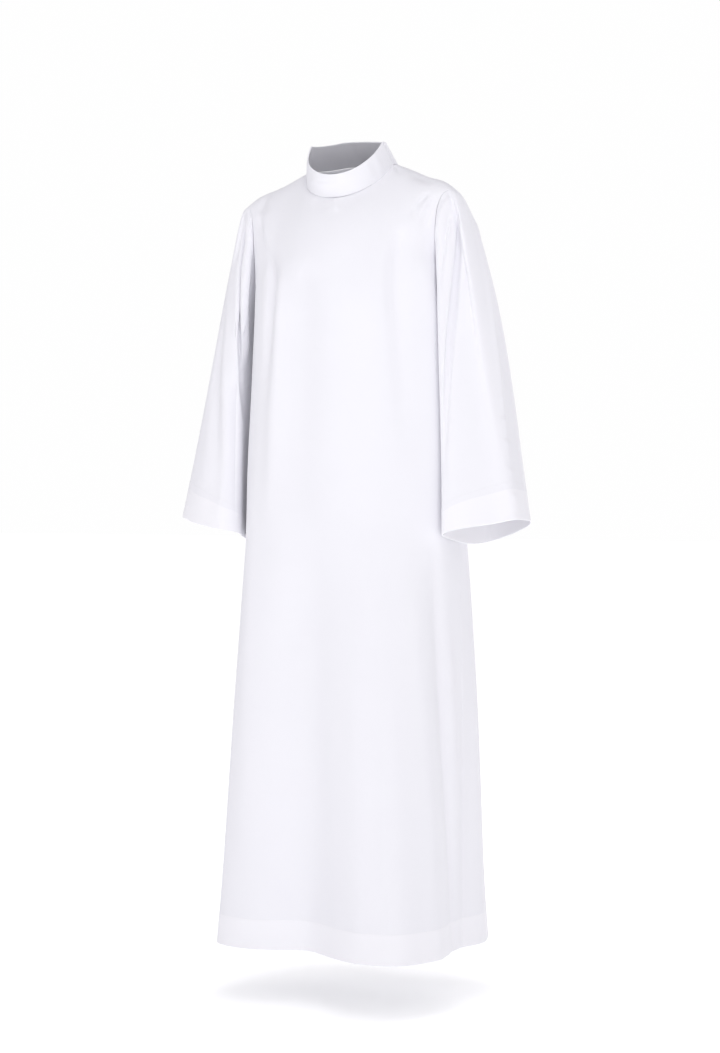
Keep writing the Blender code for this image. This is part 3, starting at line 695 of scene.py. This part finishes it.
def panelPiece(name, panel):
    surface, length = panelSurface(panel), body["underarmZ"] - body["hemZ"]
    inner = np.linspace(-1 + panel["edgeStep"], 1 - panel["edgeStep"], panel["columns"] + 1)
    turn = seamTurn()
    columns = [(-1, back, sunk) for back, sunk in turn[::-1]] + [(u, 0, 0) for u in inner]
    columns += [(1, back, sunk) for back, sunk in turn]
    hem = turnedEdge()
    rows = [(-1 + distance / length, 0, sunk) for distance, sunk in hem]
    rows += [(-1 + distance / length, 0, 0) for distance in edgeRows(length, panel["rowSpacing"])]
    rows += [(v, 0, 0) for v in np.linspace(0, 0.94, panel["yokeRows"])[1:]]
    rows += [(v, 0, 0) for v in np.linspace(0.945, 1 - panel["edgeStep"], 10)]
    rows += [(1, back, sunk) for back, sunk in turn]
    u, backU, sunkU = (np.array(part)[None, :] for part in zip(*columns))
    v, backV, sunkV = (np.array(part)[:, None] for part in zip(*rows))
    shape = (len(rows), len(columns))
    uGrid, vGrid = np.broadcast_to(u, shape), np.broadcast_to(v, shape)
    flat, normal, alongU, alongV = surface.placed(uGrid, vGrid)
    isOuter = np.arange(len(rows))[:, None] >= len(hem)
    proud = np.where(isOuter, edgeBand((vGrid + 1) * length), 0)
    setBack = backU + sunkV * (abs(uGrid) == 1) * ~isOuter
    places = flat - normal * (sunkU + sunkV - proud)[..., None]
    places = places - alongU * (np.sign(uGrid) * setBack)[..., None] - alongV * (backV + 0 * setBack)[..., None]
    uvs = layoutUvs(flat, len(columns) // 2, len(hem) - 3)
    uvs[: len(hem) - 3, :, 1] = -vGrid[: len(hem) - 3] * length - length
    piece = clothPiece(name, places, uvs, False, panel["side"] > 0)
    addWall(piece, cloth["thickness"])
    return piece, surface


def sleevePiece(name, sleeve):
    surface, length = sleeveSurface(sleeve), sleeves["length"]
    fine = np.linspace(0, 1, 2001)
    density = 1  # columns lie closer together along the pressed edge and the head's folds
    for middle, width, power, more in sleeves["closer"]:
        density = density + more * np.exp(-(((fine - middle) / width) ** power))
    columns = np.interp(np.linspace(0, 1, sleeves["columns"] + 1), np.cumsum(density) / density.sum(), fine)
    columns[0], columns[-1] = 0, 1
    turn, cuff = seamTurn(), turnedEdge()
    rows = [(1 - distance / length, 0, sunk) for distance, sunk in cuff]
    outer = edgeRows(length * (1 - sleeves["edgeStep"]), sleeves["rowSpacing"])
    rows += [(1 - distance / length, 0, 0) for distance in outer]
    rows += [(0, back, sunk) for back, sunk in turn]
    v, back, sunk = (np.array(part)[:, None] for part in zip(*rows))
    shape = (len(rows), len(columns))
    uGrid, vGrid = np.broadcast_to(columns[None, :], shape), np.broadcast_to(v, shape)
    flat, normal, alongU, alongV = surface.placed(uGrid, vGrid)
    isOuter = np.arange(len(rows))[:, None] >= len(cuff)
    proud = np.where(isOuter, edgeBand((1 - vGrid) * length), 0)
    places = flat - normal * (sunk - proud)[..., None] + alongV * (back + 0 * proud)[..., None]
    uvs = layoutUvs(flat, len(columns) // 2, len(cuff) - 3)
    uvs[: len(cuff) - 3, :, 1] = -(1 - vGrid[: len(cuff) - 3]) * length
    piece = clothPiece(name, places, uvs, True, sleeve["wearerSide"] < 0)
    addWall(piece, cloth["thickness"])
    return piece, surface


collar = {
    "height": 0.041,
    "tilt": 0.002,
    "topHalfWidth": 0.071,
    "topHalfDepth": 0.068,
    "topForward": 0.025,
    "endGap": 0.001,
    "thickness": 0.0024,
    "roundedEdge": 0.0004,
    "columns": 220,
    "rows": 26,
    "flat": (0.53, 0.046),
    "waves": {"seed": 5, "count": 8, "across": 30, "along": 1.5, "height": 0.0003},
    "creases": {  # places are around, from the left shoulder by the front, and up
        "frontDent": crease((0.15, 0.9, 10, 0.4), (0.22, 0.72, 12, 3), (0.3, 0.62, 12, 3.2), (0.38, 0.6, 9, 1)),
        "leftBend": crease((0.11, 1.1, 7, 1), (0.105, 0.6, 8, 1.2), (0.11, 0.1, 8, 0.4)),
        "leftBendB": crease((0.06, 1.1, 6, 0.8), (0.062, 0.5, 7, 1), (0.066, -0.05, 8, 0.4)),
        "rightBend": crease((0.43, 1.1, 8, 0.8), (0.435, 0.5, 8, 1), (0.44, 0, 8, 0.4)),
        "backBend": crease((0.7, 1.1, 10, 1), (0.705, 0.5, 10, 1.2), (0.71, 0, 10, 0.4)),
    },
}


def collarPoint(around, up):
    around, up = np.broadcast_arrays(np.asarray(around, float), np.asarray(up, float))
    angle = around * 2 * math.pi
    across = neckAcross * (1 - 2 * np.minimum(angle, 2 * math.pi - angle) / math.pi)
    base = np.where((angle <= math.pi)[..., None], topPoint(-1, across), topPoint(1, across))
    base = base + np.array([0, 0, cloth["seamGap"]])
    top = np.stack([
        collar["topHalfWidth"] * np.cos(angle),
        -collar["topHalfDepth"] * np.sin(angle) - collar["topForward"],
        base[..., 2] + collar["height"] - collar["tilt"] * np.cos(angle),
    ], axis=-1)
    return base + (top - base) * up[..., None]


def collarPiece(name):
    hold = lambda u, v: fadeOut(v, 0.25) * fadeOut(np.minimum(u, 1 - u), 0.02)
    surface = Surface(collarPoint, (0.5, 0.5), 1, collar, hold)
    gap = collar["endGap"] / 2 / (2 * math.pi * yoke["neckHalfWidth"])
    u = np.linspace(gap, 1 - gap, collar["columns"] + 1)
    v = np.linspace(0, 1, collar["rows"] + 1)
    uGrid, vGrid = np.meshgrid(u, v)
    places = surface.placed(uGrid, vGrid)[0]
    uvs = layoutUvs(places, len(u) // 2, 0)
    piece = clothPiece(name, places, uvs, False, False)
    addWall(piece, collar["thickness"])
    rim = piece.modifiers.new("rim", "BEVEL")
    rim.width, rim.segments = collar["roundedEdge"], 3
    rim.limit_method, rim.angle_limit = "ANGLE", math.radians(50)
    return piece


stitching = {
    "length": 0.0028,
    "pitch": 0.0036,
    "width": 0.0006,
    "proud": -0.0003,  # a thread lies half sunk in the cloth
    "colour": (0.96, 0.96, 0.98, 1),
    "shade": (0.80, 0.80, 0.86, 1),
    "twistScale": 2500.0,
}


def stitchPiece(name, surface, u, v):
    # short threads laid end to end along a line on a surface
    bm = bmesh.new()
    size = Matrix.Diagonal((stitching["length"] / 2, stitching["width"] / 2, stitching["width"] / 2, 1))
    u, v = np.broadcast_arrays(np.asarray(u, float), np.asarray(v, float))
    line = surface.placed(u, v)[0]
    along = np.concatenate([[0], np.cumsum(np.linalg.norm(np.diff(line, axis=0), axis=-1))])
    at = np.arange(stitching["pitch"], along[-1], stitching["pitch"])
    places, normals = surface.placed(np.interp(at, along, u), np.interp(at, along, v))[:2]
    ways = unit(np.gradient(places, axis=0))
    for place, normal, way in zip(places + normals * stitching["proud"], normals, ways):
        normal, way = Vector(normal), Vector(way)
        turned = Matrix((way, normal.cross(way).normalized(), normal)).transposed().to_4x4()
        matrix = Matrix.Translation(place) @ turned @ size
        bmesh.ops.create_icosphere(bm, subdivisions=1, radius=1, matrix=matrix)
    return pieceFrom(bm, name)


front, frontForm = panelPiece("frontPanel", frontPanel)
print("front panel:", len(front.data.polygons), "faces")
back, backForm = panelPiece("backPanel", backPanel)
print("back panel:", len(back.data.polygons), "faces")
left, leftForm = sleevePiece("sleeveLeft", sleeveLeft)
right, rightForm = sleevePiece("sleeveRight", sleeveRight)
print("sleeves:", len(left.data.polygons), "faces each")
band = collarPiece("collarBand")
print("collar:", len(band.data.polygons), "faces")

hemLevel = -1 + cloth["edgeDepth"] / (body["underarmZ"] - body["hemZ"])
cuffDown = 1 - cloth["edgeDepth"] / sleeves["length"]
acrossRun, roundRun = np.linspace(-0.985, 0.985, 500), np.linspace(0.0, 1.0, 400)
threads = {
    front: stitchPiece("frontHemStitches", frontForm, acrossRun, hemLevel),
    back: stitchPiece("backHemStitches", backForm, acrossRun, hemLevel),
    left: stitchPiece("leftCuffStitches", leftForm, roundRun, cuffDown),
    right: stitchPiece("rightCuffStitches", rightForm, roundRun, cuffDown),
}
print("stitches:", sum(len(piece.data.polygons) for piece in threads.values()), "faces")


class Wire:
    # a shader value: sums on it add Math nodes, and add() makes any other node
    def __init__(self, tree, socket=None):
        self.tree, self.socket = tree, socket

    def add(self, kind, inputs, settings=None, output=0):
        node = self.tree.nodes.new(kind)
        for name, value in (settings or {}).items():
            setattr(node, name, value)
        for name, value in inputs.items():
            if isinstance(value, Wire):
                self.tree.links.new(value.socket, node.inputs[name])
            else:
                node.inputs[name].default_value = value
        return Wire(self.tree, node.outputs[output])

    def sum(self, operation, first, second=0.0):
        return self.add("ShaderNodeMath", {0: first, 1: second}, {"operation": operation})

    def __add__(self, other):
        return self.sum("ADD", self, other)

    def __mul__(self, other):
        return self.sum("MULTIPLY", self, other)

    def __lt__(self, other):
        return self.sum("LESS_THAN", self, other)

    __radd__, __rmul__ = __add__, __mul__


def newMaterial(name):
    material = bpy.data.materials.new(name)
    material.use_nodes = True
    return material, Wire(material.node_tree), material.node_tree.nodes["Principled BSDF"]


def blend(share, first, second):
    return share.add("ShaderNodeMix", {0: share, 6: first, 7: second}, {"data_type": "RGBA"}, 2)


def rising(distance, start, end):
    limits = {0: distance, 1: start, 2: end, 3: 0.0, 4: 1.0}
    return distance.add("ShaderNodeMapRange", limits, {"interpolation_type": "SMOOTHSTEP"})


whiteCloth = {
    "colour": (0.905, 0.903, 0.94, 1),
    "shade": (0.882, 0.879, 0.921, 1),
    "edgeColour": (0.938, 0.932, 0.965, 1),
    "threadPitch": 0.0007,
    "threadHeight": 0.00006,
    "roughness": 0.78,
    "roughnessSpread": 0.10,
    "sheen": 0.12,
    "sheenRoughness": 0.6,
    "specular": 0.25,
    "slubStretch": (900, 60, 1),  # thick places in the threads, long and thin
    "cloudScale": 7.0,
    "fineScale": 260.0,
    "bumpStrength": 0.7,
    "edgeShare": 0.8,  # how much of the edge's colour shows where the cloth is turned up
}


def clothMaterial(name, band=True):
    material, wire, shader = newMaterial(name)
    layout = wire.add("ShaderNodeUVMap", {}, {"uv_map": "layout"})
    across = wire.add("ShaderNodeSeparateXYZ", {"Vector": layout})
    up = wire.add("ShaderNodeSeparateXYZ", {"Vector": layout}, output=1)
    turns = math.pi / whiteCloth["threadPitch"]
    weave = wire.sum("SINE", across * turns) * wire.sum("SINE", up * turns)
    stretched = wire.add("ShaderNodeMapping", {"Vector": layout, "Scale": whiteCloth["slubStretch"]})
    slub = wire.add("ShaderNodeTexNoise", {"Vector": stretched, "Scale": 1.0, "Detail": 2.0})
    cloudy = wire.add("ShaderNodeTexNoise", {"Vector": layout, "Scale": whiteCloth["cloudScale"], "Detail": 3.0})
    fine = wire.add("ShaderNodeTexNoise", {"Vector": layout, "Scale": whiteCloth["fineScale"], "Detail": 2.0})
    tone = cloudy * 0.75 + fine * 0.25
    colour = blend(tone, whiteCloth["shade"], whiteCloth["colour"])
    if band:
        turnedUp = up < cloth["edgeDepth"]
        colour = blend(turnedUp * whiteCloth["edgeShare"], colour, whiteCloth["edgeColour"])
    wire.tree.links.new(colour.socket, shader.inputs["Base Color"])
    spread = whiteCloth["roughnessSpread"]
    roughness = fine * spread + (whiteCloth["roughness"] - spread / 2)
    wire.tree.links.new(roughness.socket, shader.inputs["Roughness"])
    height = weave * 0.5 + slub * 0.5
    relief = {"Height": height, "Distance": whiteCloth["threadHeight"], "Strength": whiteCloth["bumpStrength"]}
    bump = wire.add("ShaderNodeBump", relief)
    wire.tree.links.new(bump.socket, shader.inputs["Normal"])
    shader.inputs["Sheen Weight"].default_value = whiteCloth["sheen"]
    shader.inputs["Sheen Roughness"].default_value = whiteCloth["sheenRoughness"]
    shader.inputs["Specular IOR Level"].default_value = whiteCloth["specular"]
    return material


def threadMaterial(name):
    material, wire, shader = newMaterial(name)
    place = wire.add("ShaderNodeTexCoord", {}, output=3)
    twist = wire.add("ShaderNodeTexNoise", {"Vector": place, "Scale": stitching["twistScale"], "Detail": 1.0})
    colour = blend(twist, stitching["shade"], stitching["colour"])
    wire.tree.links.new(colour.socket, shader.inputs["Base Color"])
    shader.inputs["Roughness"].default_value = 0.5
    return material


bodyCloth = clothMaterial("whiteCloth")
collarCloth = clothMaterial("collarCloth", band=False)
sewingThread = threadMaterial("sewingThread")
for piece in (front, back, left, right):
    piece.data.materials.append(bodyCloth)
band.data.materials.append(collarCloth)
for thread in threads.values():
    thread.data.materials.append(sewingThread)

for piece, node, layout in (
    (front, "front_panel", frontPanel),
    (back, "back_panel", backPanel),
    (left, "sleeve_left", sleeveLeft),
    (right, "sleeve_right", sleeveRight),
):
    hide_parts(node)
    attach(piece, "root")
    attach(threads[piece], "root")
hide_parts("collar")
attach(band, "root")

studio = {
    "floorZ": -1.548,
    "world": 0.42,
    "worldColour": (0.97, 0.95, 1.0, 1),
    "backdrop": (0.995, 0.995, 0.995, 1),
    "floorColour": (0.90, 0.90, 0.905, 1),
    "floorRoughness": 0.9,
    # the floor glows though it is no lamp: far out this keeps it evenly white, it also lights the robe from below, and
    # under the robe the glow is dimmed into a painted shadow
    "floorGlow": 0.7,
    # painted shadow under the robe: a dimmer floor glow
    "paintedShadowGlow": (0.62, 0.62, 0.63, 1),
    "nearGlow": (0.92, 0.92, 0.92, 1),
    "farGlow": (1.0, 1.0, 1.0, 1),
    "paintedShadowFade": (0.12, 0.62),  # how far out the glow changes from the painted shadow under the robe to near
    "fading": (0.8, 3.2),  # and from near to far
    "lights": {  # place, aimed at, size, power
        "key": ((2.9, -3.4, 1.5), (0, 0, -0.75), 2.6, 36),
        "fill": ((-2.4, -3.8, 0.7), (0, 0, -0.85), 2.6, 18),
        "top": ((0.7, -1.7, 3), (0, 0, -0.2), 2.6, 32),
        "behind": ((0.5, 4.2, 0.8), (0, 0, -0.7), 2.6, 40),
    },
}
scene = bpy.context.scene
world = bpy.data.worlds.new("studio")
scene.world = world
world.use_nodes = True
background = world.node_tree.nodes["Background"]
wire = Wire(world.node_tree)
seen = wire.add("ShaderNodeLightPath", {})
strength = seen * (1.0 - studio["world"]) + studio["world"]
tint = blend(seen, studio["worldColour"], studio["backdrop"])
world.node_tree.links.new(tint.socket, background.inputs["Color"])
world.node_tree.links.new(strength.socket, background.inputs["Strength"])
scene.view_settings.view_transform = "Standard"

bm = bmesh.new()
bmesh.ops.create_grid(bm, x_segments=1, y_segments=1, size=30, matrix=Matrix.Translation((0, 0, studio["floorZ"])))
floor = pieceFrom(bm, "floor")
floorMaterial, wire, floorShader = newMaterial("paleFloor")
floorShader.inputs["Base Color"].default_value = studio["floorColour"]
floorShader.inputs["Roughness"].default_value = studio["floorRoughness"]
floorShader.inputs["Specular IOR Level"].default_value = 0.0
place = wire.add("ShaderNodeTexCoord", {}, output=3)
level = wire.add("ShaderNodeVectorMath", {0: place, 1: (1, 1, 0)}, {"operation": "MULTIPLY"})
away = wire.add("ShaderNodeVectorMath", {0: level}, {"operation": "LENGTH"}, 1)
# painted shadow: the floor glows dimmer under the robe, brighter near it and brightest far out
near = blend(rising(away, *studio["paintedShadowFade"]), studio["paintedShadowGlow"], studio["nearGlow"])
glow = blend(rising(away, *studio["fading"]), near, studio["farGlow"])
wire.tree.links.new(glow.socket, floorShader.inputs["Emission Color"])
floorShader.inputs["Emission Strength"].default_value = studio["floorGlow"]
floor.data.materials.append(floorMaterial)

for name, (place, aim, size, power) in studio["lights"].items():
    light = bpy.data.lights.new(name, "AREA")
    light.shape, light.size, light.energy = "DISK", size, power
    lamp = bpy.data.objects.new(name, light)
    lamp.location = place
    lamp.rotation_euler = (Vector(aim) - Vector(place)).to_track_quat("-Z", "Y").to_euler()
    scene.collection.objects.link(lamp)

view = {"distance": 5.0, "azimuth": 25.0, "eyeZ": -0.56, "tilt": -1.248, "turn": -0.160, "lens": 91.76}
camera = bpy.data.cameras.new("camera")
camera.sensor_fit, camera.sensor_height, camera.lens = "VERTICAL", 36, view["lens"]
eye = bpy.data.objects.new("camera", camera)
azimuth = math.radians(view["azimuth"])
eye.location = (view["distance"] * math.sin(azimuth), -view["distance"] * math.cos(azimuth), view["eyeZ"])
eye.rotation_euler = (math.radians(90 + view["tilt"]), 0, azimuth + math.radians(view["turn"]))
scene.collection.objects.link(eye)
scene.camera = eye
print("studio ready")
